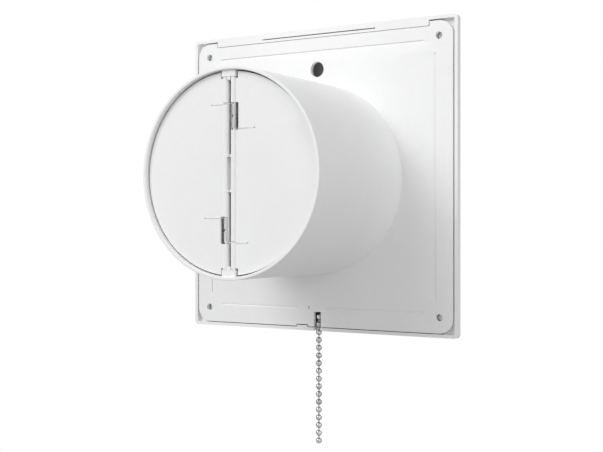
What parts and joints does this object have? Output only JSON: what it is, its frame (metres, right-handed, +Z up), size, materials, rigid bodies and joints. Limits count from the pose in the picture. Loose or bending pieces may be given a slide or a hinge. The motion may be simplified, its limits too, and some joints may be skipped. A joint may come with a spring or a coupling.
{
  "type": "ventilation fan",
  "caption": "Square wall ventilation fan with a round duct spigot, a spring-loaded two-leaf backdraft shutter, an axial impeller and a bead-chain pull switch.",
  "frame": {"origin": "where the spigot axis meets the wall face of the base plate", "axes": "+Y along the spigot into the duct, +Z up, the room side at -Y"},
  "size_m": [0.16, 0.0973, 0.2197],
  "materials": {
    "white_plastic": "satin white moulded plastic",
    "impeller_plastic": "pale grey moulded plastic",
    "spring_steel": "bare spring wire",
    "pin_steel": "ground steel",
    "screw_steel": "zinc plated",
    "chain_steel": "nickel plated beads",
    "bearing_bronze": "sintered bronze",
    "terminal_brass": "brass",
    "core_steel": "laminated core",
    "winding_copper": "enamelled copper wire",
    "grey_plastic": "pale grey plastic",
    "black_plastic": "black plastic"
  },
  "bodies": {
    "housing": {"fan_housing": "white_plastic", "front_frame": "white_plastic", "inlet_grille": "white_plastic", "hinge_pin_left": "pin_steel", "hinge_pin_right": "pin_steel", "motor_mount": "white_plastic", "motor_cap": "white_plastic", "motor_screws": "screw_steel", "rear_bearing": "bearing_bronze", "front_bearing": "bearing_bronze", "stator_core": "core_steel", "stator_windings": "winding_copper", "terminal_block": "grey_plastic", "terminal_screws": "terminal_brass", "terminal_mount_screw": "screw_steel", "cable_clamp": "grey_plastic", "cable_clamp_screws": "screw_steel", "switch_body": "black_plastic", "switch_cap": "black_plastic", "switch_screws": "screw_steel"},
    "impeller": {"impeller": "impeller_plastic", "impeller_clip": "spring_steel", "motor_shaft": "pin_steel", "rotor_core": "core_steel", "thrust_washers": "pin_steel"},
    "flap_left": {"flap_left": "white_plastic", "flap_spring_lower": "spring_steel"},
    "flap_right": {"flap_right": "white_plastic", "flap_spring_upper": "spring_steel"},
    "pull": {"switch_plunger": "black_plastic", "switch_spring": "spring_steel", "chain_coupling": "chain_steel", "chain_upper": "chain_steel"},
    "chain": {"chain_lower": "chain_steel"}
  },
  "joints": [
    {"name": "impeller_spin", "type": "hinge", "parent": "housing", "child": "impeller", "pos_m": [0, 0.02, 0], "axis": [0, 1, 0], "continuous": true},
    {"name": "flap_left_swing", "type": "hinge", "parent": "housing", "child": "flap_left", "pos_m": [0.0023, 0.0796, 0], "axis": [0, 0, 1], "range_deg": [0, 80], "stiffness_Nm_per_rad": 0.002, "springref_deg": -28.65, "deforming": ["flap_spring_upper"]},
    {"name": "flap_right_swing", "type": "hinge", "parent": "housing", "child": "flap_right", "pos_m": [-0.0023, 0.0796, 0], "axis": [0, 0, -1], "range_deg": [0, 80], "stiffness_Nm_per_rad": 0.002, "springref_deg": -28.65, "deforming": ["flap_spring_lower"]},
    {"name": "chain_pull", "type": "slide", "parent": "housing", "child": "pull", "axis": [0, 0, -1], "range_m": [0, 0.004], "stiffness_N_per_m": 250, "springref_m": -0.004, "deforming": ["switch_spring"]},
    {"name": "chain_swing", "type": "hinge", "parent": "pull", "child": "chain", "pos_m": [0, -0.00198, -0.08492], "axis": [0, 1, 0], "range_deg": [-35, 35]}
  ]
}
